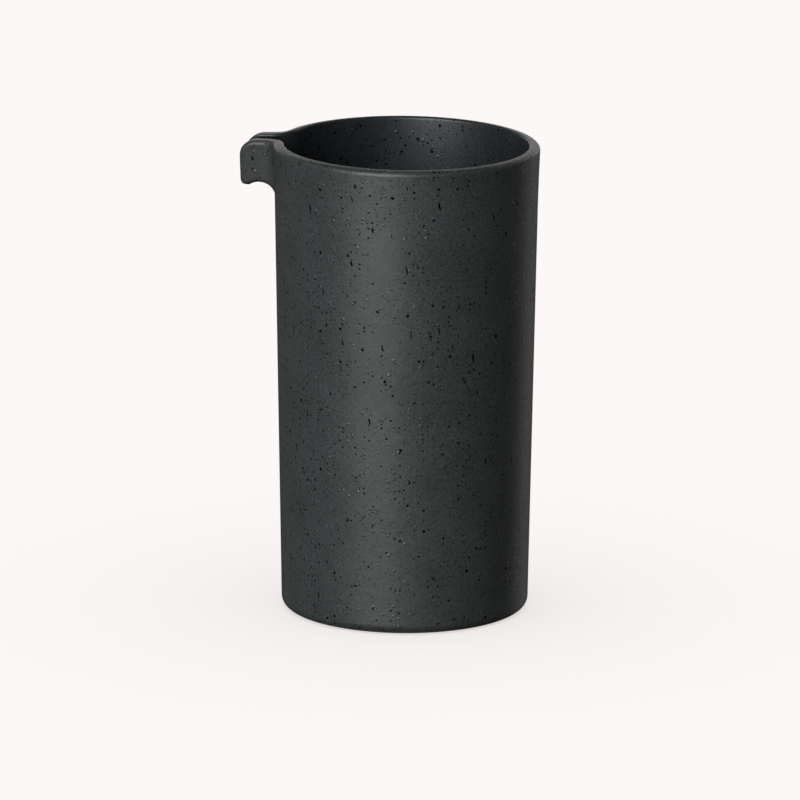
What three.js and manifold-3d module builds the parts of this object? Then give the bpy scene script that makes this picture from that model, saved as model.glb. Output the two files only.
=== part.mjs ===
// A handleless stoneware milk pitcher: a slightly tapered cup with a narrow grooved beak on its rim.
// It is one fired casting (clay_body) with a glaze coat outside, a glaze lining inside, and a patch of
// glaze in the recess under the foot. The foot ring itself is bare clay.
//
// Millimetres, +Z up. The origin is on the cup's axis in the plane the foot stands on, and the beak
// points along -X. "reach" is the distance from the axis towards the beak, so reach = -x.

import * as THREE from "three";
import { mergeVertices } from "three/addons/utils/BufferGeometryUtils.js";
import Module from "manifold-3d";

// ---- Driving dimensions of the finished, glazed pitcher ----

const HEIGHT = 136;
const RIM_RADIUS = 38;
const FOOT_RADIUS = 35.5;
const RIM_WALL = 3.2;
const FOOT_WALL = 4.2;
const FLOOR_THICKNESS = 5.0;

const RIM_ROUND = 1.25;
const FOOT_ROUND = 2.7;
const FLOOR_ROUND = 7.0;

const BEAK_REACH = 48.35;
const BEAK_WIDTH = 13.6;
const BEAK_NOSE_WIDTH = 12.0;
const BEAK_FILLET = 2.2;
const NOSE_ROUND = 5.5;
const NOSE_CORNER = 1.6;
const CREST_DROP = 12.5;
const UNDERSIDE_RADIUS = 5.5;
const UNDERSIDE_INSET = 1.35;
const TIP_ROUND = 2.0;
const FRONT_LEAN = 0.3;

const GROOVE_WIDTH = 5.6;
const GROOVE_MOUTH_ROUND = 6.0;
const GROOVE_DEPTH_AT_CUP = 9.0;
const GROOVE_DEPTH_AT_NOSE = 4.2;

const COAT = 0.4;
const BOND_GAP = 0.1;
const BARE_FOOT_HEIGHT = 0.9;
const RECESS_RADIUS = 27;
const RECESS_DEPTH = 0.6;

// How far cutting shapes overshoot the pitcher, and how far the beak's block starts inside the cup.
const CUT_MARGIN = 6;
const BEAK_ROOT_DEPTH = 4.5;

// ---- Fineness of the faceting ----

const TURN_SEGMENTS = 56;
const ROUND_STEPS = 3;
const FLOOR_STEPS = 4;
const ARC_STEPS = 6;
const MERGE_DISTANCE = 1e-4;

// ---- Worked out from the above ----

const CLAY_INSET = COAT + BOND_GAP;
const SEAM_INSET = RIM_WALL / 2;
const ABOVE_RIM = HEIGHT + CUT_MARGIN;
const BELOW_FOOT = -CUT_MARGIN;
const BEAK_ROOT_REACH = RIM_RADIUS - RIM_WALL - BEAK_ROOT_DEPTH;
const BEAK_BLOCK_DEPTH = 2 * CREST_DROP;
const BLOCK_HALF_WIDTH = BEAK_WIDTH + BEAK_FILLET;

const QUARTER_TURN = Math.PI / 2;
const RIGHT = 0;
const UP = QUARTER_TURN;
const LEFT = 2 * QUARTER_TURN;
const DOWN = -QUARTER_TURN;

const wasm = await Module();
wasm.setup();

// ---- Helpers ----

// Points on an arc, both ends included.
function arc(centreX, centreY, radius, from, to, steps) {
  const points = [];
  for (let i = 0; i <= steps; i += 1) {
    const angle = from + ((to - from) * i) / steps;
    points.push(new THREE.Vector2(centreX + radius * Math.cos(angle), centreY + radius * Math.sin(angle)));
  }
  return points;
}

// A closed geometry as a solid that can be cut and joined.
function toSolid(geometry) {
  const bare = geometry.clone();
  bare.deleteAttribute("normal");
  bare.deleteAttribute("uv");
  const merged = mergeVertices(bare, MERGE_DISTANCE);
  const index = merged.index.array;
  const triangles = [];
  for (let i = 0; i < index.length; i += 3) {
    const [a, b, c] = [index[i], index[i + 1], index[i + 2]];
    if (a !== b && b !== c && c !== a) {
      triangles.push(a, b, c);
    }
  }
  const vertProperties = new Float32Array(merged.attributes.position.array);
  const triVerts = new Uint32Array(triangles);
  return new wasm.Manifold(new wasm.Mesh({ numProp: 3, vertProperties, triVerts }));
}

function toGeometry(solid) {
  const mesh = solid.getMesh();
  const geometry = new THREE.BufferGeometry();
  geometry.setAttribute("position", new THREE.BufferAttribute(mesh.vertProperties, 3));
  geometry.setIndex(new THREE.BufferAttribute(mesh.triVerts, 1));
  geometry.computeVertexNormals();
  return geometry;
}

// A solid of revolution about the Z axis, from a profile of (radius, height) points.
function turned(profile) {
  const geometry = new THREE.LatheGeometry(profile, TURN_SEGMENTS);
  geometry.rotateX(QUARTER_TURN);
  return toSolid(geometry);
}

// A plan outline in (x, y), stretched between two heights; the bevel rounds its upper edge.
function standing(outline, bottom, top, bevel) {
  const geometry = new THREE.ExtrudeGeometry(new THREE.Shape(outline), {
    depth: top - bottom - 2 * bevel,
    bevelEnabled: bevel > 0,
    bevelThickness: bevel,
    bevelSize: bevel,
    bevelOffset: -bevel,
    bevelSegments: ROUND_STEPS,
  });
  geometry.translate(0, 0, bottom + bevel);
  return toSolid(geometry);
}

// A side outline in (reach, height), stretched across the beak.
function across(outline) {
  const geometry = new THREE.ExtrudeGeometry(new THREE.Shape(outline), {
    depth: 2 * BLOCK_HALF_WIDTH,
    bevelEnabled: false,
  });
  geometry.translate(0, 0, -BLOCK_HALF_WIDTH);
  const reachAxis = new THREE.Vector3(-1, 0, 0);
  const heightAxis = new THREE.Vector3(0, 0, 1);
  const widthAxis = new THREE.Vector3(0, 1, 0);
  geometry.applyMatrix4(new THREE.Matrix4().makeBasis(reachAxis, heightAxis, widthAxis));
  return toSolid(geometry);
}

function mirrored(half) {
  const other = half.map((point) => new THREE.Vector2(point.x, -point.y));
  return [...half, ...other.reverse()];
}

// ---- The cup ----

function outerRadius(height) {
  return FOOT_RADIUS + ((RIM_RADIUS - FOOT_RADIUS) * height) / HEIGHT;
}

function innerRadius(height) {
  return outerRadius(height) - FOOT_WALL - ((RIM_WALL - FOOT_WALL) * height) / HEIGHT;
}

// The outside of the cup, filled in. The inset moves the wall and the rim in, but leaves the foot plane.
function cupBlock(inset) {
  const footCentre = outerRadius(FOOT_ROUND) - FOOT_ROUND - inset;
  const rimCentre = RIM_RADIUS - RIM_ROUND;
  return turned([
    new THREE.Vector2(0, 0),
    ...arc(footCentre, FOOT_ROUND, FOOT_ROUND, DOWN, RIGHT, FLOOR_STEPS),
    ...arc(rimCentre, HEIGHT - RIM_ROUND, RIM_ROUND - inset, RIGHT, UP, ROUND_STEPS),
    new THREE.Vector2(0, HEIGHT - inset),
  ]);
}

// The space inside the cup, with the inner rounding of the rim, grown outwards all over.
function cupSpace(grow) {
  const floorArcHeight = FLOOR_THICKNESS + FLOOR_ROUND;
  const floorCentre = innerRadius(floorArcHeight) - FLOOR_ROUND;
  const rimCentre = innerRadius(HEIGHT) + RIM_ROUND;
  const floorArc = arc(floorCentre, floorArcHeight, FLOOR_ROUND + grow, DOWN, RIGHT, FLOOR_STEPS);
  const rimArc = arc(rimCentre, HEIGHT - RIM_ROUND, RIM_ROUND - grow, LEFT, UP, ROUND_STEPS);
  return turned([
    new THREE.Vector2(0, FLOOR_THICKNESS - grow),
    ...floorArc,
    ...rimArc,
    new THREE.Vector2(rimCentre, ABOVE_RIM),
    new THREE.Vector2(0, ABOVE_RIM),
  ]);
}

// The space inside the cup out to the middle of the wall: it parts the lining from the outer coat.
function innerHalfOfCup(grow) {
  return turned([
    new THREE.Vector2(0, FLOOR_THICKNESS - grow),
    new THREE.Vector2(innerRadius(FLOOR_THICKNESS) + grow, FLOOR_THICKNESS - grow),
    new THREE.Vector2(innerRadius(HEIGHT) + grow, HEIGHT),
    new THREE.Vector2(innerRadius(HEIGHT) + grow, ABOVE_RIM),
    new THREE.Vector2(0, ABOVE_RIM),
  ]);
}

// ---- The beak ----

// Seen from above: a tongue that narrows to its nose and runs into the cup's wall through fillets.
function beakPlan(inset) {
  const halfWidth = BEAK_WIDTH / 2;
  const fillet = BEAK_FILLET + inset;
  const filletY = halfWidth + BEAK_FILLET;
  const filletReach = Math.sqrt((RIM_RADIUS + BEAK_FILLET) ** 2 - filletY ** 2);
  const towardsCup = Math.atan2(-filletY, filletReach);
  const corner = NOSE_CORNER - inset;
  const cornerReach = BEAK_REACH - NOSE_CORNER;
  const cornerY = BEAK_NOSE_WIDTH / 2 - NOSE_CORNER;
  return mirrored([
    new THREE.Vector2(-BEAK_ROOT_REACH, BEAK_ROOT_REACH * Math.tan(-towardsCup)),
    ...arc(-filletReach, filletY, fillet, towardsCup, DOWN, ARC_STEPS),
    ...arc(-cornerReach, cornerY, corner, UP, LEFT, ROUND_STEPS),
  ]);
}

// Seen from the side: a round nose, a front that leans back to a hooked tip, and one arc for the
// underside, which runs into the wall.
function beakSide(inset) {
  const tipRadius = TIP_ROUND - inset;
  const wallReach = outerRadius(HEIGHT - CREST_DROP - UNDERSIDE_RADIUS);
  const underReach = wallReach + UNDERSIDE_RADIUS - UNDERSIDE_INSET;
  const underHeight = HEIGHT - CREST_DROP - UNDERSIDE_RADIUS;
  const underRadius = UNDERSIDE_RADIUS + inset;
  const tipReach = BEAK_REACH - FRONT_LEAN - TIP_ROUND;
  const tipAngle = Math.acos((tipReach - underReach) / (UNDERSIDE_RADIUS + TIP_ROUND));
  const tipHeight = underHeight + (UNDERSIDE_RADIUS + TIP_ROUND) * Math.sin(tipAngle);
  const noseReach = BEAK_REACH - NOSE_ROUND;
  return [
    new THREE.Vector2(noseReach, ABOVE_RIM),
    ...arc(noseReach, HEIGHT - NOSE_ROUND, NOSE_ROUND - inset, UP, RIGHT, ARC_STEPS),
    ...arc(tipReach, tipHeight, tipRadius, RIGHT, tipAngle - LEFT, ROUND_STEPS),
    ...arc(underReach, underHeight, underRadius, tipAngle, LEFT, ARC_STEPS),
    new THREE.Vector2(BEAK_ROOT_REACH, underHeight),
    new THREE.Vector2(BEAK_ROOT_REACH, ABOVE_RIM),
  ].reverse();
}

function beakBlock(inset) {
  const plan = standing(beakPlan(inset), HEIGHT - BEAK_BLOCK_DEPTH, HEIGHT - inset, RIM_ROUND - inset);
  return plan.intersect(across(beakSide(inset)));
}

// Seen from above: the groove opens into the cup through convex rounds and runs out over the nose.
function groovePlan(grow) {
  const mouth = GROOVE_MOUTH_ROUND - grow;
  const mouthY = GROOVE_WIDTH / 2 + GROOVE_MOUTH_ROUND;
  const mouthReach = Math.sqrt((innerRadius(HEIGHT) + GROOVE_MOUTH_ROUND) ** 2 - mouthY ** 2);
  const towardsCup = Math.atan2(-mouthY, mouthReach);
  return mirrored([
    new THREE.Vector2(-BEAK_ROOT_REACH, BEAK_ROOT_REACH * Math.tan(-towardsCup)),
    ...arc(-mouthReach, mouthY, mouth, towardsCup, DOWN, ARC_STEPS),
    new THREE.Vector2(-BEAK_REACH - NOSE_ROUND, GROOVE_WIDTH / 2 + grow),
  ]);
}

// Seen from the side: the groove's floor rises from the cup towards the nose.
function grooveSide(grow) {
  const cupReach = innerRadius(HEIGHT);
  const slope = (GROOVE_DEPTH_AT_CUP - GROOVE_DEPTH_AT_NOSE) / (BEAK_REACH - cupReach);
  const floorAt = (reach) => HEIGHT - GROOVE_DEPTH_AT_NOSE - slope * (BEAK_REACH - reach) - grow;
  const outerEnd = BEAK_REACH + NOSE_ROUND;
  return [
    new THREE.Vector2(BEAK_ROOT_REACH, floorAt(BEAK_ROOT_REACH)),
    new THREE.Vector2(outerEnd, floorAt(outerEnd)),
    new THREE.Vector2(outerEnd, ABOVE_RIM),
    new THREE.Vector2(BEAK_ROOT_REACH, ABOVE_RIM),
  ];
}

function groove(grow) {
  const plan = standing(groovePlan(grow), HEIGHT - BEAK_BLOCK_DEPTH, ABOVE_RIM, 0);
  return plan.intersect(across(grooveSide(grow)));
}

// ---- The pitcher at a depth below its finished surface ----

function pitcher(depth) {
  return cupBlock(depth).add(beakBlock(depth)).subtract(cupSpace(depth)).subtract(groove(depth));
}

// ---- The pieces ----

function discUnderFoot(radius, bottom, top) {
  return turned([
    new THREE.Vector2(0, bottom),
    new THREE.Vector2(radius, bottom),
    new THREE.Vector2(radius, top),
    new THREE.Vector2(0, top),
  ]);
}

function clayBody() {
  return pitcher(CLAY_INSET).subtract(discUnderFoot(RECESS_RADIUS, BELOW_FOOT, RECESS_DEPTH + CLAY_INSET));
}

function coatAllOver() {
  return pitcher(0).subtract(pitcher(COAT));
}

function innerHalf(grow) {
  return innerHalfOfCup(grow).add(groove(grow));
}

function outerGlaze() {
  const aboveFootRing = discUnderFoot(2 * RIM_RADIUS, BARE_FOOT_HEIGHT, ABOVE_RIM);
  return coatAllOver().subtract(innerHalf(SEAM_INSET + BOND_GAP / 2)).intersect(aboveFootRing);
}

function innerGlaze() {
  return coatAllOver().intersect(innerHalf(SEAM_INSET - BOND_GAP / 2));
}

function baseGlaze() {
  return discUnderFoot(RECESS_RADIUS - BOND_GAP, RECESS_DEPTH, RECESS_DEPTH + COAT);
}

// ---- The assembly ----

const BARE_CLAY = { color: 0x4b4743, roughness: 0.9 };
const SATIN_GLAZE = { color: 0x34383a, roughness: 0.6 };
const LINING_GLAZE = { color: 0x303436, roughness: 0.45 };

const group = new THREE.Group();

function addPiece(name, solid, finish) {
  const piece = new THREE.Mesh(toGeometry(solid), new THREE.MeshStandardMaterial(finish));
  piece.name = name;
  group.add(piece);
}

addPiece("clay_body", clayBody(), BARE_CLAY);
addPiece("outer_glaze", outerGlaze(), SATIN_GLAZE);
addPiece("inner_glaze", innerGlaze(), LINING_GLAZE);
addPiece("base_glaze", baseGlaze(), SATIN_GLAZE);

export default group;
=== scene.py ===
"""A handleless stoneware milk pitcher with a narrow grooved beak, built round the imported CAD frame.

The CAD's faceted pieces are replaced by fine meshes of the same four pieces: the fired clay, the
glaze outside, the glaze inside and the patch of glaze under the foot. The whole form is one signed
distance field, negative inside the pitcher. Its surface is meshed on a grid that turns about the
cup's axis, and is then parted into the pieces. Lengths are in metres, +Z is up, the axis is the
Z axis and the beak points along -X, so "reach" is -x.
"""

import math

import bpy
import numpy as np
from mathutils import Matrix, Vector


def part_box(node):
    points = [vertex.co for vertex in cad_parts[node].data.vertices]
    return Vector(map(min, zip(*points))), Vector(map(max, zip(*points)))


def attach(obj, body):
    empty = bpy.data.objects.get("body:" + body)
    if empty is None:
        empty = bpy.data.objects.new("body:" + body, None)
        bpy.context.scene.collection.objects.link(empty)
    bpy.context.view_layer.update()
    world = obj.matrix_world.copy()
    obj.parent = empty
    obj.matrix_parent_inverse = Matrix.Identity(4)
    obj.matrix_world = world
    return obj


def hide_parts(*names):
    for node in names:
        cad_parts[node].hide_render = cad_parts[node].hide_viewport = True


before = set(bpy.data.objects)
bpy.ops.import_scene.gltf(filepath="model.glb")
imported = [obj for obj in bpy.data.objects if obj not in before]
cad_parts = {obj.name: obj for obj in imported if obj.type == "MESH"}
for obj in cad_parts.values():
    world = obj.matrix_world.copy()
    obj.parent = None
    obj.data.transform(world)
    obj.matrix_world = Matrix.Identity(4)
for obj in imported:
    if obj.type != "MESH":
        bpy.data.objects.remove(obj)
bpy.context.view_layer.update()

MM = 0.001

# ---- Sizes that the frame gives ----

coat_low, coat_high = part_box("outer_glaze")
lining_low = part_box("inner_glaze")[0]
patch_low, patch_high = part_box("base_glaze")

HEIGHT = coat_high.z
RIM_RADIUS = coat_high.x
BEAK_REACH = -coat_low.x
COAT = patch_high.z - patch_low.z
BARE_FOOT_HEIGHT = coat_low.z
FLOOR_HEIGHT = lining_low.z + COAT
RECESS_RADIUS = patch_high.x
RECESS_DEPTH = patch_low.z

# ---- Sizes that shape the surface between those ----

FOOT_RADIUS = 35.55 * MM
RIM_WALL = 3.2 * MM
FOOT_WALL = 4.2 * MM
RIM_ROUND = 1.25 * MM
RIM_CROWN = 0.45 * MM
RIM_LEAN = 0.38 * MM
RIM_FLARE = 0.3 * MM
FLARE_HEIGHT = 20.0 * MM
MOUTH_ROUND = 0.9 * MM
FOOT_ROUND = 2.8 * MM
FLOOR_ROUND = 7.0 * MM
RECESS_ROUND = 0.45 * MM

# The beak's width is its width where it leaves the rim. The taper and the lean are how much of its
# half width goes for each length along the beak and for each length down from the rim.
BEAK_WIDTH = 14.4 * MM
BEAK_TAPER = 0.08
BEAK_LEAN = 0.15
BEAK_START = RIM_RADIUS - RIM_WALL
BEAK_EDGE_ROUND = 1.1 * MM
BEAK_FALL = 0.6 * MM
BEAK_FILLET = 2.2 * MM
NOSE_ROUND = 5.3 * MM
CREST_DROP = 12.5 * MM
HOOK_RADIUS = 5.2 * MM
HOOK_INSET = 0.75 * MM
TIP_DROP = 1.0 * MM
TIP_ROUND = 1.9 * MM

GROOVE_WIDTH = 5.6 * MM
GROOVE_MOUTH_ROUND = 6.0 * MM
GROOVE_DEPTH_AT_CUP = 9.0 * MM
GROOVE_DEPTH_AT_NOSE = 4.2 * MM
GROOVE_EDGE_ROUND = 0.5 * MM

# The glaze thins over its last stretch before the bare foot, to this share of its thickness.
BOND_GAP = 0.02 * MM
GLAZE_EDGE = 1.2 * MM
THINNEST_GLAZE = 0.15


# ---- The form, as a signed distance field ----


def round_meet(a, b, radius):
    """The part inside both a and b, with the edge between them rounded."""
    corner = np.hypot(np.maximum(radius + a, 0), np.maximum(radius + b, 0))
    return np.minimum(-radius, np.maximum(a, b)) + corner


def round_join(a, b, radius):
    """The part inside a or b, with a fillet where they meet."""
    corner = np.hypot(np.maximum(radius - a, 0), np.maximum(radius - b, 0))
    return np.maximum(radius, np.minimum(a, b)) - corner


def outer_radius(z):
    taper = FOOT_RADIUS + (RIM_RADIUS - FOOT_RADIUS) * z / HEIGHT
    flare = np.clip((z - HEIGHT + FLARE_HEIGHT) / FLARE_HEIGHT, 0, 1)
    return taper + RIM_FLARE * flare * flare


def inner_radius(z):
    return outer_radius(z) - FOOT_WALL - (RIM_WALL - FOOT_WALL) * z / HEIGHT


def top_height(p):
    """The height of the top: a little out of level, crowned towards the inside of the wall, and
    falling along the beak."""
    radius = np.hypot(p[:, 0], p[:, 1])
    crown = RIM_CROWN * np.clip((RIM_RADIUS - radius) / RIM_WALL, 0, 1)
    lean = RIM_LEAN * -p[:, 0] / RIM_RADIUS
    fall = BEAK_FALL * np.maximum(-p[:, 0] - BEAK_START, 0) / (BEAK_REACH - BEAK_START)
    return HEIGHT + crown + lean - fall


def beak_block(p):
    """The beak filled in. It narrows towards its nose and towards its underside, where a hook ends
    in a rounded tip."""
    reach, across, z = -p[:, 0], np.abs(p[:, 1]), p[:, 2]
    crest = HEIGHT - CREST_DROP
    hook_reach = outer_radius(crest) + HOOK_RADIUS - HOOK_INSET
    above_hook = np.maximum(z - (crest - HOOK_RADIUS), 0)
    under_beak = HOOK_RADIUS - np.hypot(reach - hook_reach, above_hook)
    under_beak = np.maximum(under_beak, crest - HOOK_RADIUS - z)
    past_tip = np.maximum(reach - (BEAK_REACH - TIP_ROUND), 0)
    below_tip = np.maximum(crest - TIP_DROP + TIP_ROUND - z, 0)
    tip = np.where(reach > hook_reach, np.hypot(past_tip, below_tip), 0) - TIP_ROUND
    half_width = BEAK_WIDTH / 2 - BEAK_TAPER * (reach - RIM_RADIUS) - BEAK_LEAN * (HEIGHT - z)
    beak = round_meet(across - half_width, np.maximum(under_beak, tip), BEAK_EDGE_ROUND)
    return np.maximum(beak, -reach)


def outside_form(p):
    """The pitcher filled in: the cup's wall and the beak under one rounded top, on the foot. The
    fillet round the beak dies away down the hook, where the hook runs into the wall."""
    reach, z = -p[:, 0], p[:, 2]
    wall = np.hypot(p[:, 0], p[:, 1]) - outer_radius(z)
    crest = HEIGHT - CREST_DROP
    fillet = BEAK_FILLET * np.clip((z - (crest - HOOK_RADIUS)) / HOOK_RADIUS, 0, 1)
    form = round_join(wall, beak_block(p), fillet)
    past_nose = np.maximum(reach - (BEAK_REACH - NOSE_ROUND), 0)
    above_nose = np.maximum(z - (top_height(p) - NOSE_ROUND), 0)
    nose = np.hypot(past_nose, above_nose) - NOSE_ROUND
    form = round_meet(form, nose, RIM_ROUND)
    return round_meet(form, -z, FOOT_ROUND)


def inside_space(p):
    """The empty space: the inside of the cup and the groove that leads out over the beak's nose."""
    reach, z = -p[:, 0], p[:, 2]
    cup = round_meet(np.hypot(p[:, 0], p[:, 1]) - inner_radius(z), FLOOR_HEIGHT - z, FLOOR_ROUND)
    cup_reach = inner_radius(HEIGHT)
    slope = (GROOVE_DEPTH_AT_CUP - GROOVE_DEPTH_AT_NOSE) / (BEAK_REACH - cup_reach)
    groove_floor = HEIGHT - GROOVE_DEPTH_AT_NOSE - slope * (BEAK_REACH - reach)
    below = np.minimum(z - (groove_floor + GROOVE_WIDTH / 2), 0)
    groove = np.maximum(np.hypot(p[:, 1], below) - GROOVE_WIDTH / 2, -reach)
    return round_join(cup, groove, GROOVE_MOUTH_ROUND)


def foot_recess(p):
    return round_meet(np.hypot(p[:, 0], p[:, 1]) - RECESS_RADIUS, p[:, 2] - RECESS_DEPTH, RECESS_ROUND)


def mouth_round(p):
    """The rounding of the mouth's edge, which tightens along the groove."""
    along = np.clip((-p[:, 0] - inner_radius(HEIGHT)) / GROOVE_MOUTH_ROUND, 0, 1)
    return MOUTH_ROUND + (GROOVE_EDGE_ROUND - MOUTH_ROUND) * along


def pitcher(p):
    form = round_meet(outside_form(p), -inside_space(p), mouth_round(p))
    return round_meet(form, -foot_recess(p), RECESS_ROUND)


def rim_seam(p):
    """Zero along the middle of the rim, negative on the lining's side of it."""
    return inside_space(p) - RIM_WALL / 2


def foot_edge(p):
    return p[:, 2] - BARE_FOOT_HEIGHT


def recess_edge(p):
    return RECESS_RADIUS - RECESS_ROUND - np.hypot(p[:, 0], p[:, 1])


def gradient(field, p):
    """The field's slope at each point of p."""
    step = 0.01 * MM
    slopes = [(field(p + d) - field(p - d)) / (2 * step) for d in np.eye(3) * step]
    return np.stack(slopes, axis=1)


def settle(p, *fields, rounds=4):
    """p moved onto the surface where each of the fields is zero."""
    flattest = 0.01
    for _ in range(rounds):
        for field in fields:
            slope = gradient(field, p)
            steepness = np.maximum((slope**2).sum(axis=1), flattest)
            p = p - (field(p) / steepness)[:, None] * slope
    return p


# ---- Meshing ----


def lines(*stretches):
    """Grid lines from (start, end, spacing) stretches that follow on from each other."""
    parts = []
    for start, end, spacing in stretches:
        parts.append(np.linspace(start, end, max(1, round((end - start) / spacing)), endpoint=False))
    return np.concatenate(parts + [[stretches[-1][1]]])


def turn_lines():
    """Angles round the axis from the beak's direction, close together at the beak."""
    fine, coarse, fine_until, growth = 0.5, 3.0, 17.0, 1.12
    half_turn = 180
    half = [0.0]
    spacing = fine
    while half[-1] + spacing < half_turn:
        half.append(half[-1] + spacing)
        if half[-1] > fine_until:
            spacing = min(spacing * growth, coarse)
    half = np.array(half) * half_turn / half[-1]
    return np.radians(np.concatenate([half, -half[-2:0:-1]]))


def grid_points():
    """Grid nodes by turn, radius and height. The radii bend with the taper: 1 is the inner wall's
    radius and 2 the outer wall's, and beyond 2 they count in reaches past the wall. The grid is
    fine at the foot, the rim and the beak, and coarse along the plain walls."""
    turn = turn_lines()
    past_wall = BEAK_REACH - RIM_RADIUS
    before_recess_edge, past_recess_edge, before_inner_wall = 0.72, 0.93, 0.99
    before_outer_wall, past_outer_wall, past_nose = 1.95, 2.04, 3.1
    radius = lines(
        (0.0, before_recess_edge, 0.072),
        (before_recess_edge, past_recess_edge, 0.03),
        (past_recess_edge, before_inner_wall, 0.015),
        (before_inner_wall, before_outer_wall, 0.12),
        (before_outer_wall, past_outer_wall, 0.03),
        (past_outer_wall, past_nose, 0.04),
    )
    below_foot, above_foot_round, above_floor_round = -0.31 * MM, 3.2 * MM, 13.0 * MM
    near_beak, under_beak, above_rim = HEIGHT - 24 * MM, HEIGHT - 20 * MM, HEIGHT + 1.0 * MM
    height = lines(
        (below_foot, above_foot_round, 0.3 * MM),
        (above_foot_round, above_floor_round, 0.7 * MM),
        (above_floor_round, near_beak, 2.6 * MM),
        (near_beak, under_beak, 0.8 * MM),
        (under_beak, above_rim, 0.36 * MM),
    )
    t, r, z = np.meshgrid(turn, radius, height, indexing="ij")
    inner, outer = inner_radius(z), outer_radius(z)
    rho = np.where(r < 1, r * inner, np.where(r < 2, inner + (r - 1) * (outer - inner), 0))
    rho = np.where(r >= 2, outer + (r - 2) * past_wall, rho)
    return np.stack([-rho * np.cos(t), -rho * np.sin(t), z], axis=-1)


def slab(array, axis, start, stop):
    """The array from start to stop along one of its three axes."""
    cut = [slice(None)] * 3
    cut[axis] = slice(start, stop)
    return array[tuple(cut)]


def surface_net(points, values):
    """Vertices, quads and the fan on the axis for the surface where values change sign. The first
    axis of the grid goes all the way round."""
    points = np.concatenate([points, points[:1]])
    values = np.concatenate([values, values[:1]])
    cells = tuple(n - 1 for n in values.shape)
    total = np.zeros(cells + (3,))
    count = np.zeros(cells)
    crossings = []
    for axis in range(3):
        low, high = slab(values, axis, None, -1), slab(values, axis, 1, None)
        crossing = (low < 0) != (high < 0)
        crossings.append(crossing)
        share = np.where(crossing, low / np.where(crossing, low - high, 1), 0)[..., None]
        place = slab(points, axis, None, -1) * (1 - share) + slab(points, axis, 1, None) * share
        place = np.where(crossing[..., None], place, 0)
        first, second = [other for other in range(3) if other != axis]
        for i in (0, 1):
            for j in (0, 1):
                cut = [slice(None)] * 3
                cut[first] = slice(i, i + cells[first])
                cut[second] = slice(j, j + cells[second])
                total += place[tuple(cut)]
                count += crossing[tuple(cut)]
    used = count > 0
    number = np.full(cells, -1)
    number[used] = np.arange(used.sum())
    vertices = total[used] / count[used][:, None]
    quads = net_quads(crossings, number)
    fans, middles = axis_fans(points, values, crossings[2], number, len(vertices))
    return np.concatenate([vertices, middles]), quads, fans


def net_quads(crossings, number):
    """One quad round each grid line that crosses the surface, away from the axis."""
    turns = number.shape[0]
    quads = []
    for axis in range(3):
        first, second = [other for other in range(3) if other != axis]
        at = np.argwhere(crossings[axis])
        at = at[at[:, 0] < turns] if axis != 0 else at
        for other in (first, second):
            if other != 0:
                at = at[(at[:, other] > 0) & (at[:, other] < number.shape[other])]
        corners = []
        for i, j in ((-1, -1), (0, -1), (0, 0), (-1, 0)):
            cell = at.copy()
            cell[:, first] += i
            cell[:, second] += j
            cell[:, 0] %= turns
            corners.append(number[cell[:, 0], cell[:, 1], cell[:, 2]])
        quads.append(np.stack(corners, axis=1))
    return np.concatenate(quads)


def axis_fans(points, values, upright_crossings, number, next_number):
    """Triangles that close each level surface round the axis, with a vertex in their middle."""
    fans, middles = [], []
    for k in np.flatnonzero(upright_crossings[0, 0]):
        low, high = values[0, 0, k], values[0, 0, k + 1]
        share = low / (low - high)
        middles.append(points[0, 0, k] * (1 - share) + points[0, 0, k + 1] * share)
        ring = number[:, 0, k]
        middle = np.full(len(ring), next_number + len(middles) - 1)
        fans.append(np.stack([middle, ring, np.roll(ring, -1)], axis=1))
    return np.concatenate(fans), np.array(middles)


def edges_of(faces):
    """Every face's edges, as pairs of vertices in the face's direction."""
    pairs = [np.stack([f, np.roll(f, -1, axis=1)], axis=-1).reshape(-1, 2) for f in faces]
    return np.concatenate(pairs)


def relax(vertices, faces, rounds=6):
    """Evens out the mesh along the surface, by pulling each vertex towards its neighbours."""
    pull = 0.4
    pairs = np.unique(np.sort(edges_of(faces), axis=1), axis=0)
    both = np.concatenate([pairs, pairs[:, ::-1]])
    degree = np.bincount(both[:, 0], minlength=len(vertices))[:, None]
    for _ in range(rounds):
        mean = np.zeros_like(vertices)
        np.add.at(mean, both[:, 0], vertices[both[:, 1]])
        vertices = settle(vertices + pull * (mean / degree - vertices), pitcher, rounds=1)
    return settle(vertices, pitcher)


def faced_outwards(vertices, face):
    """The face's corners in the order that makes it face out of the pitcher."""
    corners = vertices[face]
    across = corners[:, 2] - corners[:, 0]
    along = corners[:, -1] - corners[:, 1]
    normal = np.cross(across, along)
    turned = (normal * gradient(pitcher, corners.mean(axis=1))).sum(axis=1) < 0
    face = face.copy()
    face[turned] = face[turned][:, ::-1]
    return face


# ---- The pieces ----

OUTSIDE, INSIDE, BARE, UNDER = range(4)


def zone_of(centres):
    """Which part of the surface each face is on, from the face's centre."""
    zone = np.where(rim_seam(centres) < 0, INSIDE, OUTSIDE)
    zone[foot_edge(centres) < 0] = BARE
    zone[(recess_edge(centres) > 0) & (centres[:, 2] < FLOOR_HEIGHT / 2)] = UNDER
    return zone


def shared_vertices(vertices, faces, zones, one, other):
    """Marks the vertices on the seam between two zones."""
    touched = []
    for zone in (one, other):
        mask = np.zeros(len(vertices), bool)
        for face, face_zone in zip(faces, zones):
            mask[face[face_zone == zone].ravel()] = True
        touched.append(mask)
    return touched[0] & touched[1]


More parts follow.
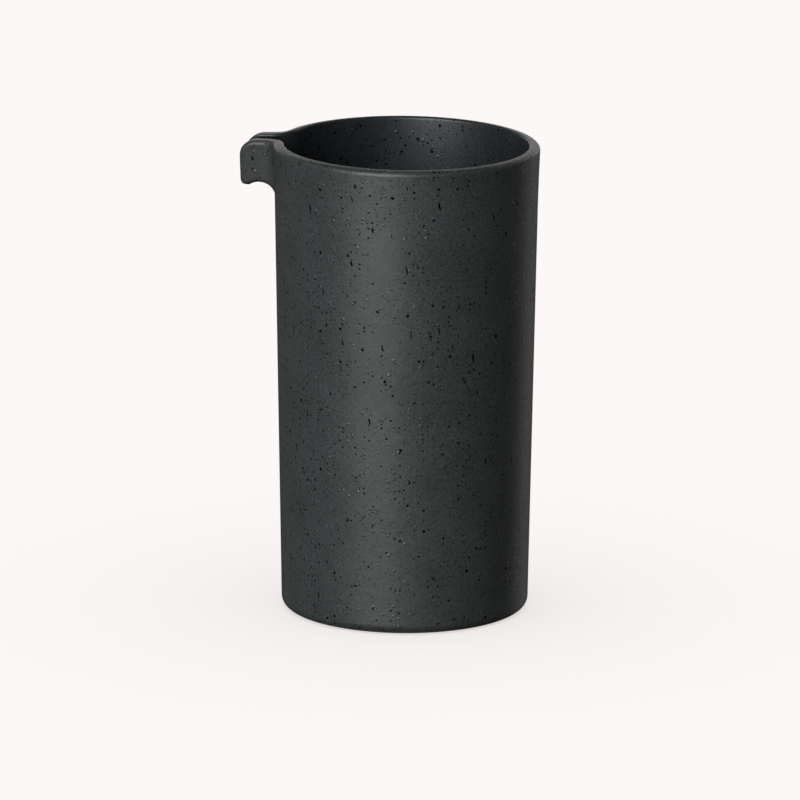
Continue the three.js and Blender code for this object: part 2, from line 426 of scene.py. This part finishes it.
def glaze_depth(vertices, faces, zones):
    """How thick the glaze is at each vertex: full, thin along the bare foot ring, none on it."""
    glazed = np.zeros(len(vertices), bool)
    for face, zone in zip(faces, zones):
        glazed[face[zone != BARE].ravel()] = True
    under = (recess_edge(vertices) > -RECESS_ROUND / 2) & (vertices[:, 2] < FLOOR_HEIGHT / 2)
    from_edge = np.where(under, recess_edge(vertices), foot_edge(vertices))
    share = np.clip(from_edge / GLAZE_EDGE, 0, 1)
    share = THINNEST_GLAZE + (1 - THINNEST_GLAZE) * share * share * (3 - 2 * share)
    return np.where(glazed, COAT * share, 0)


def make_piece(name, vertices, normals, faces, material, replaced):
    mesh = bpy.data.meshes.new(name)
    mesh.from_pydata(vertices.tolist(), [], [corner for face in faces for corner in face.tolist()])
    mesh.shade_smooth()
    mesh.normals_split_custom_set_from_vertices(normals.tolist())
    mesh.materials.append(material)
    piece = bpy.data.objects.new(name, mesh)
    bpy.context.scene.collection.objects.link(piece)
    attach(piece, "root")
    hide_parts(replaced)
    return piece


def border_of(faces):
    """The edges that only one face has, each in that face's direction."""
    edges = edges_of(faces)
    key = np.sort(edges, axis=1)
    _, index, count = np.unique(key, axis=0, return_inverse=True, return_counts=True)
    return edges[count[index.ravel()] == 1]


def make_coat(name, vertices, normals, depth, faces, material, replaced):
    """A closed coat of glaze: its outer face, its inner face and the rim between them."""
    used = np.unique(np.concatenate([face.ravel() for face in faces]))
    number = np.full(len(vertices), -1)
    number[used] = np.arange(len(used))
    outer = [number[face] for face in faces]
    inner = [face[:, ::-1] + len(used) for face in outer]
    border = border_of(outer)
    start, end = border[:, 0], border[:, 1]
    strip = np.stack([end, start, start + len(used), end + len(used)], axis=1)
    skin, facing = vertices[used], normals[used]
    back = skin - facing * depth[used][:, None]
    return make_piece(
        name,
        np.concatenate([skin, back]),
        np.concatenate([facing, -facing]),
        outer + inner + [strip],
        material,
        replaced,
    )


def make_pitcher(clay, outer_glaze, inner_glaze, base_glaze):
    """The four pieces, from their materials. The clay is the whole surface, sunk under the glaze."""
    points = grid_points()
    values = pitcher(points.reshape(-1, 3)).reshape(points.shape[:3])
    vertices, quads, fans = surface_net(points, values)
    faces = [quads, fans]
    vertices = relax(settle(vertices, pitcher), faces)
    zones = [zone_of(vertices[face].mean(axis=1)) for face in faces]
    for one, other, edge in (
        (OUTSIDE, INSIDE, rim_seam),
        (OUTSIDE, BARE, foot_edge),
        (BARE, UNDER, recess_edge),
    ):
        shared = shared_vertices(vertices, faces, zones, one, other)
        vertices[shared] = settle(vertices[shared], edge, pitcher, rounds=6)
    faces = [faced_outwards(vertices, face) for face in faces]
    normals = gradient(pitcher, vertices)
    normals /= np.linalg.norm(normals, axis=1)[:, None]
    depth = glaze_depth(vertices, faces, zones)
    sunk = np.where(depth > 0, depth + BOND_GAP, 0)
    clay_vertices = vertices - normals * sunk[:, None]
    pieces = [make_piece("fired_clay", clay_vertices, normals, faces, clay, "clay_body")]
    for name, zone, material, slot in (
        ("outside_glaze", OUTSIDE, outer_glaze, "outer_glaze"),
        ("inside_glaze", INSIDE, inner_glaze, "inner_glaze"),
        ("foot_glaze", UNDER, base_glaze, "base_glaze"),
    ):
        mine = [face[face_zone == zone] for face, face_zone in zip(faces, zones)]
        mine = [face for face in mine if len(face)]
        pieces.append(make_coat(name, vertices, normals, depth, mine, material, slot))
    return pieces


# ---- Materials ----

CHARCOAL = (0.028, 0.0315, 0.032)
# The lining's charcoal is the outside glaze's charcoal made darker, as painted shade inside the cup.
SHADED_LINING_CHARCOAL = (0.012, 0.014, 0.016)
IRON_BLACK = (0.003, 0.003, 0.004, 1)
SATIN = 0.47
LINING_SATIN = 0.45

SANDY_CLAY = (0.10, 0.086, 0.074, 1)
DARK_CLAY = (0.055, 0.048, 0.042, 1)
CLAY_GRIT = (0.16, 0.14, 0.12, 1)

NOISE_MIDDLE = 0.5

# The glaze's iron specks, by size. The cell, the radius and the blur are millimetres, and the share
# is of the cells that hold a speck where the specks are most crowded.
IRON_SPECKS = (
    {"cell": 2.2, "share": 0.4, "radius": 0.48, "blur": 0.1, "darkness": 1.0},
    {"cell": 1.3, "share": 0.8, "radius": 0.36, "blur": 0.1, "darkness": 0.9},
    {"cell": 0.8, "share": 0.7, "radius": 0.23, "blur": 0.08, "darkness": 0.75},
)


class Nodes:
    """A material's node tree, with a short way to add nodes. Lengths in it are millimetres."""

    def __init__(self, name):
        self.material = bpy.data.materials.new(name)
        self.material.use_nodes = True
        self.tree = self.material.node_tree
        self.shader = self.tree.nodes["Principled BSDF"]
        coordinates = self.add("ShaderNodeTexCoord")
        self.place = self.vector("MULTIPLY", coordinates.outputs["Object"], (1 / MM,) * 3)

    def add(self, kind, inputs=None, **settings):
        node = self.tree.nodes.new(kind)
        for key, value in settings.items():
            setattr(node, key, value)
        for key, value in (inputs or {}).items():
            self.set(node.inputs[key], value)
        return node

    def set(self, socket, value):
        if isinstance(value, bpy.types.NodeSocket):
            self.tree.links.new(value, socket)
        else:
            socket.default_value = value

    def math(self, operation, a, b=0.0, c=0.0, clamp=False):
        node = self.add("ShaderNodeMath", {0: a, 1: b, 2: c}, operation=operation, use_clamp=clamp)
        return node.outputs[0]

    def vector(self, operation, a, b):
        node = self.add("ShaderNodeVectorMath", {0: a, 1: b}, operation=operation)
        return node.outputs[0]

    def ramp(self, value, low, high, to_low=0.0, to_high=1.0):
        inputs = {"Value": value, "From Min": low, "From Max": high, "To Min": to_low, "To Max": to_high}
        return self.add("ShaderNodeMapRange", inputs, interpolation_type="SMOOTHSTEP").outputs[0]

    def noise(self, size, detail=2.0, colour=False):
        inputs = {"Vector": self.place, "Scale": 1 / size, "Detail": detail}
        return self.add("ShaderNodeTexNoise", inputs).outputs["Color" if colour else "Fac"]

    def spread(self, noise, half, low=0.0, high=1.0):
        """A ramp from low to high, centred on the noise's middle value and twice half wide."""
        return self.ramp(noise, NOISE_MIDDLE - half, NOISE_MIDDLE + half, low, high)

    def bump(self, relief):
        node = self.add("ShaderNodeBump", {"Height": relief, "Distance": MM, "Strength": 1.0})
        self.set(self.shader.inputs["Normal"], node.outputs[0])

    def mix(self, share, a, b):
        colour_a, colour_b, colour_out = 6, 7, 2
        node = self.add("ShaderNodeMix", data_type="RGBA")
        self.set(node.inputs[0], share)
        self.set(node.inputs[colour_a], a)
        self.set(node.inputs[colour_b], b)
        return node.outputs[colour_out]


def ragged(nodes, size, amount):
    """Places pushed about a little, so that what is drawn there has ragged outlines."""
    push = nodes.vector("SUBTRACT", nodes.noise(size, colour=True), (NOISE_MIDDLE,) * 3)
    return nodes.vector("ADD", nodes.place, nodes.vector("MULTIPLY", push, (amount,) * 3))


def specks(nodes, place, cell, share, radius, blur):
    """Round specks at the random points of cells, in a share of the cells, with random radii."""
    inputs = {"Vector": place, "Scale": 1 / cell}
    voronoi = nodes.add("ShaderNodeTexVoronoi", inputs)
    random = nodes.add("ShaderNodeSeparateColor", {"Color": voronoi.outputs["Color"]}).outputs[0]
    reach = nodes.ramp(random, nodes.math("SUBTRACT", 1.0, share), 1.0, -blur / cell, radius / cell)
    inside = nodes.math("SUBTRACT", reach, voronoi.outputs["Distance"])
    return nodes.ramp(inside, -blur / cell, blur / cell)


def run_place(nodes, place):
    """Places twisted about the axis and squeezed in height, where round specks become slanting runs."""
    twist_per_mm = 0.0052
    squeeze = 4.2
    height = nodes.add("ShaderNodeSeparateXYZ", {"Vector": place}).outputs["Z"]
    angle = nodes.math("MULTIPLY", height, twist_per_mm)
    inputs = {"Vector": place, "Angle": angle}
    turned = nodes.add("ShaderNodeVectorRotate", inputs, rotation_type="Z_AXIS").outputs[0]
    return nodes.vector("MULTIPLY", turned, (1, 1, 1 / squeeze))


def shade(nodes, colour, amount):
    """The colour made lighter or darker by the amount."""
    scaled = nodes.add("ShaderNodeVectorMath", {"Vector": colour, "Scale": amount}, operation="SCALE")
    return scaled.outputs[0]


def painted_groove_shade(nodes):
    """How much painted shade lies deep in the beak's groove, drawn as black metallic glaze: from a
    little below the groove's edges down, most of the way along the beak, and less towards the nose."""
    shade_start, shade_end = (BEAK_START + 1.0 * MM) / MM, (BEAK_START + 5.5 * MM) / MM
    shade_top, shade_full = 0.5, 0.85
    share_on_beak, share_at_nose = 0.85, 0.3
    place = nodes.add("ShaderNodeSeparateXYZ", {"Vector": nodes.place}).outputs
    slope = BEAK_FALL / (BEAK_REACH - BEAK_START) - RIM_LEAN / RIM_RADIUS
    level = (HEIGHT + RIM_LEAN * BEAK_START / RIM_RADIUS + slope * BEAK_START) / MM
    depth = nodes.math("SUBTRACT", nodes.math("MULTIPLY_ADD", place["X"], slope, level), place["Z"])
    from_cup = nodes.ramp(place["X"], -shade_start, -shade_end)
    nose_start, nose_end = (BEAK_REACH - NOSE_ROUND) / MM, BEAK_REACH / MM
    to_nose = nodes.ramp(place["X"], -nose_start, -nose_end, share_on_beak, share_at_nose)
    along = nodes.math("MULTIPLY", from_cup, to_nose)
    return nodes.math("MULTIPLY", along, nodes.ramp(depth, shade_top, shade_full))


def iron_specks(nodes, place, crowd):
    """Specks of all the sizes, the smaller ones paler."""
    dark = 0.0
    for size in IRON_SPECKS:
        share = nodes.math("MULTIPLY", crowd, size["share"])
        speck = specks(nodes, place, size["cell"], share, size["radius"], size["blur"])
        dark = nodes.math("MAXIMUM", dark, nodes.math("MULTIPLY", speck, size["darkness"]))
    return dark


def iron_runs(nodes, place, crowd):
    """Short slanting runs of iron, few on the lower half and many near the rim."""
    few_below, many_above = 0.4 * HEIGHT / MM, 0.8 * HEIGHT / MM
    height = nodes.add("ShaderNodeSeparateXYZ", {"Vector": nodes.place}).outputs["Z"]
    high = nodes.ramp(height, few_below, many_above, 0.15, 0.9)
    share = nodes.math("MULTIPLY", crowd, high)
    return specks(nodes, run_place(nodes, place), cell=1.9, share=share, radius=0.32, blur=0.09)


def glints(nodes, place, crowd, dark):
    """Small smooth bumps in the glaze, which catch the light where no speck is."""
    beside = nodes.vector("ADD", place, (-0.25, 0.0, -0.5))
    share = nodes.math("MULTIPLY", crowd, 0.6)
    glint = specks(nodes, beside, cell=1.5, share=share, radius=0.32, blur=0.24)
    return nodes.math("MULTIPLY", glint, nodes.math("SUBTRACT", 1.0, dark))


def glaze(name, colour, roughness, runs=False, groove_shaded=False):
    """Satin stoneware glaze, mottled, with iron specks and glints. It can have runs of iron too, and
    painted shade deep in the beak's groove."""
    roughness_spread = 0.07
    glint_gloss = 0.35
    glint_height, speck_depth, fine_height, peel_height = 0.13, 0.05, 0.012, 0.05
    nodes = Nodes(name)
    place = ragged(nodes, size=0.7, amount=0.7)
    crowd = nodes.spread(nodes.noise(9.0, detail=1.0), 0.12, 0.3, 1.0)
    dark = iron_specks(nodes, place, crowd)
    if runs:
        dark = nodes.math("MAXIMUM", dark, iron_runs(nodes, place, crowd))
    glint = glints(nodes, place, crowd, dark)
    mottle = nodes.spread(nodes.noise(0.7, detail=3.0), 0.25, 0.7, 1.3)
    cloud = nodes.spread(nodes.noise(14.0), 0.2, 0.9, 1.1)
    ground = shade(nodes, colour, nodes.math("MULTIPLY", mottle, cloud))
    # The painted shade deep in the beak's groove joins the specks here, black and metallic like them.
    iron = nodes.math("MAXIMUM", dark, painted_groove_shade(nodes)) if groove_shaded else dark
    nodes.set(nodes.shader.inputs["Base Color"], nodes.mix(iron, ground, IRON_BLACK))
    nodes.set(nodes.shader.inputs["Metallic"], iron)
    fine = nodes.noise(0.35)
    rough = nodes.spread(fine, 0.2, roughness - roughness_spread, roughness + roughness_spread)
    rough = nodes.math("MULTIPLY_ADD", glint, -glint_gloss, rough, clamp=True)
    nodes.set(nodes.shader.inputs["Roughness"], rough)
    relief = nodes.math("MULTIPLY", nodes.noise(3.5, detail=1.0), peel_height)
    relief = nodes.math("MULTIPLY_ADD", fine, fine_height, relief)
    relief = nodes.math("MULTIPLY_ADD", dark, -speck_depth, relief)
    relief = nodes.math("MULTIPLY_ADD", glint, glint_height, relief)
    nodes.bump(relief)
    return nodes.material


def bare_clay():
    """Fired dark stoneware: dry, sandy and slightly uneven in colour."""
    sand_height, grit_height = 0.05, 0.05
    nodes = Nodes("bare_clay")
    sand = nodes.noise(0.4, detail=3.0)
    colour = nodes.mix(nodes.spread(sand, 0.2), SANDY_CLAY, DARK_CLAY)
    place = ragged(nodes, size=0.6, amount=0.3)
    grit = specks(nodes, place, cell=0.9, share=0.35, radius=0.22, blur=0.06)
    nodes.set(nodes.shader.inputs["Base Color"], nodes.mix(grit, colour, CLAY_GRIT))
    nodes.set(nodes.shader.inputs["Roughness"], nodes.spread(sand, 0.3, 0.82, 0.95))
    relief = nodes.math("MULTIPLY", sand, sand_height)
    nodes.bump(nodes.math("MULTIPLY_ADD", grit, grit_height, relief))
    return nodes.material


pitcher_pieces = make_pitcher(
    bare_clay(),
    glaze("outer_glaze", CHARCOAL, SATIN, runs=True),
    # The lining carries the painted shade deep in the beak's groove.
    glaze("inner_glaze", SHADED_LINING_CHARCOAL, LINING_SATIN, groove_shaded=True),
    glaze("base_glaze", CHARCOAL, SATIN),
)

# ---- Floor, light and camera ----

# Lengths are metres and the lens is millimetres. The last two are how far the camera stands aside of
# the line to its target and below it, as shares of the distance.
CAMERA_AZIMUTH = math.radians(12.5)
CAMERA_ELEVATION = math.radians(14.0)
CAMERA_ROLL = math.radians(0.25)
CAMERA_DISTANCE = 2.64
CAMERA_TARGET_HEIGHT = 0.0722
CAMERA_LENS = 413
CAMERA_SENSOR = 36
CAMERA_REACH = 200
CAMERA_ASIDE = 0.00062
CAMERA_BELOW = 0.0043

# The room's strength as a light, and its strength as the camera sees it.
ROOM_LIGHT = 0.052
ROOM_SEEN = 0.97
ROOM_COLOUR = (1, 0.965, 0.955, 1)

FLOOR_COLOUR = (0.88, 0.848, 0.84, 1)
FLOOR_ROUGHNESS = 0.9
FLOOR_GLOW = (0.965, 0.93, 0.921, 1)
FLOOR_GLOW_STRENGTH = 0.67
FLOOR_LIGHT = 1.0
FLOOR_LIGHT_SPREAD = math.radians(90)
FLOOR_HALF_WIDTH = 60.0


def make_floor():
    """A pale floor under a light of its own. It glows a little, which keeps the shadow on it faint."""
    half = FLOOR_HALF_WIDTH
    mesh = bpy.data.meshes.new("floor")
    corners = [(-half, -half, 0), (half, -half, 0), (half, half, 0), (-half, half, 0)]
    mesh.from_pydata(corners, [], [(0, 1, 2, 3)])
    nodes = Nodes("pale_floor")
    nodes.shader.inputs["Base Color"].default_value = FLOOR_COLOUR
    nodes.shader.inputs["Roughness"].default_value = FLOOR_ROUGHNESS
    nodes.shader.inputs["Specular IOR Level"].default_value = 0.0
    nodes.shader.inputs["Emission Color"].default_value = FLOOR_GLOW
    nodes.shader.inputs["Emission Strength"].default_value = FLOOR_GLOW_STRENGTH
    mesh.materials.append(nodes.material)
    floor = bpy.data.objects.new("floor", mesh)
    floor.visible_glossy = False
    floor.visible_diffuse = False
    bpy.context.scene.collection.objects.link(floor)
    data = bpy.data.lights.new("floor_light", "SUN")
    data.energy = FLOOR_LIGHT
    data.angle = FLOOR_LIGHT_SPREAD
    lamp = bpy.data.objects.new("floor_light", data)
    light_only(lamp, "floor_lit", [floor])
    bpy.context.scene.collection.objects.link(lamp)


def light_only(lamp, name, pieces):
    """Keeps the lamp's light on these pieces."""
    lit = bpy.data.collections.new(name)
    for piece in pieces:
        lit.objects.link(piece)
    lamp.light_linking.receiver_collection = lit


def toward(azimuth, elevation):
    """The direction from the pitcher to a light, its azimuth counted from the camera's."""
    turn = CAMERA_AZIMUTH + math.radians(azimuth)
    lift = math.radians(elevation)
    return Vector((math.sin(turn) * math.cos(lift), -math.cos(turn) * math.cos(lift), math.sin(lift)))


def softbox(name, azimuth, elevation, distance, width, height, radiance):
    """A flat light that faces the pitcher and lights only the pitcher. Angles are in degrees, the
    azimuth counted from the camera's, and lengths in metres."""
    data = bpy.data.lights.new(name, "AREA")
    data.shape = "RECTANGLE"
    data.size = width
    data.size_y = height
    data.energy = radiance * math.pi * width * height
    lamp = bpy.data.objects.new(name, data)
    back = toward(azimuth, elevation)
    lamp.location = Vector((0, 0, HEIGHT / 2)) + back * distance
    lamp.rotation_euler = back.to_track_quat("Z", "Y").to_euler()
    lamp.visible_camera = False
    light_only(lamp, name + "_lit", pitcher_pieces)
    bpy.context.scene.collection.objects.link(lamp)


def make_world():
    """A dim room light, in a room that the camera sees as pale as the floor."""
    world = bpy.data.worlds.new("studio")
    world.use_nodes = True
    tree = world.node_tree
    background = tree.nodes["Background"]
    background.inputs["Color"].default_value = ROOM_COLOUR
    seen = tree.nodes.new("ShaderNodeMapRange")
    seen.inputs["To Min"].default_value = ROOM_LIGHT
    seen.inputs["To Max"].default_value = ROOM_SEEN
    path = tree.nodes.new("ShaderNodeLightPath")
    tree.links.new(path.outputs["Is Camera Ray"], seen.inputs["Value"])
    tree.links.new(seen.outputs[0], background.inputs["Strength"])
    bpy.context.scene.world = world


def make_camera():
    """A long lens, which looks a little down on the pitcher."""
    data = bpy.data.cameras.new("camera")
    data.lens = CAMERA_LENS
    data.sensor_width = CAMERA_SENSOR
    data.clip_end = CAMERA_REACH
    camera = bpy.data.objects.new("camera", data)
    back = toward(0, math.degrees(CAMERA_ELEVATION))
    turn = (-back).to_track_quat("-Z", "Y").to_matrix().to_4x4()
    spin = turn @ Matrix.Rotation(CAMERA_ROLL, 4, "Z")
    right, up = spin.col[0].to_3d(), spin.col[1].to_3d()
    target = Vector((0, 0, CAMERA_TARGET_HEIGHT))
    spin.translation = target + (back - right * CAMERA_ASIDE - up * CAMERA_BELOW) * CAMERA_DISTANCE
    camera.matrix_world = spin
    bpy.context.scene.collection.objects.link(camera)
    bpy.context.scene.camera = camera


make_floor()
make_world()
softbox("key", azimuth=-27, elevation=17, distance=2.6, width=1.9, height=2.8, radiance=7.6)
softbox("left", azimuth=-125, elevation=5, distance=1.4, width=1.4, height=2.0, radiance=0.1)
softbox("right_edge", azimuth=138, elevation=5, distance=1.4, width=0.7, height=2.0, radiance=0.5)
softbox("backdrop", azimuth=180, elevation=14, distance=2.0, width=2.6, height=0.9, radiance=1.3)
make_camera()
bpy.context.scene.view_settings.view_transform = "Standard"
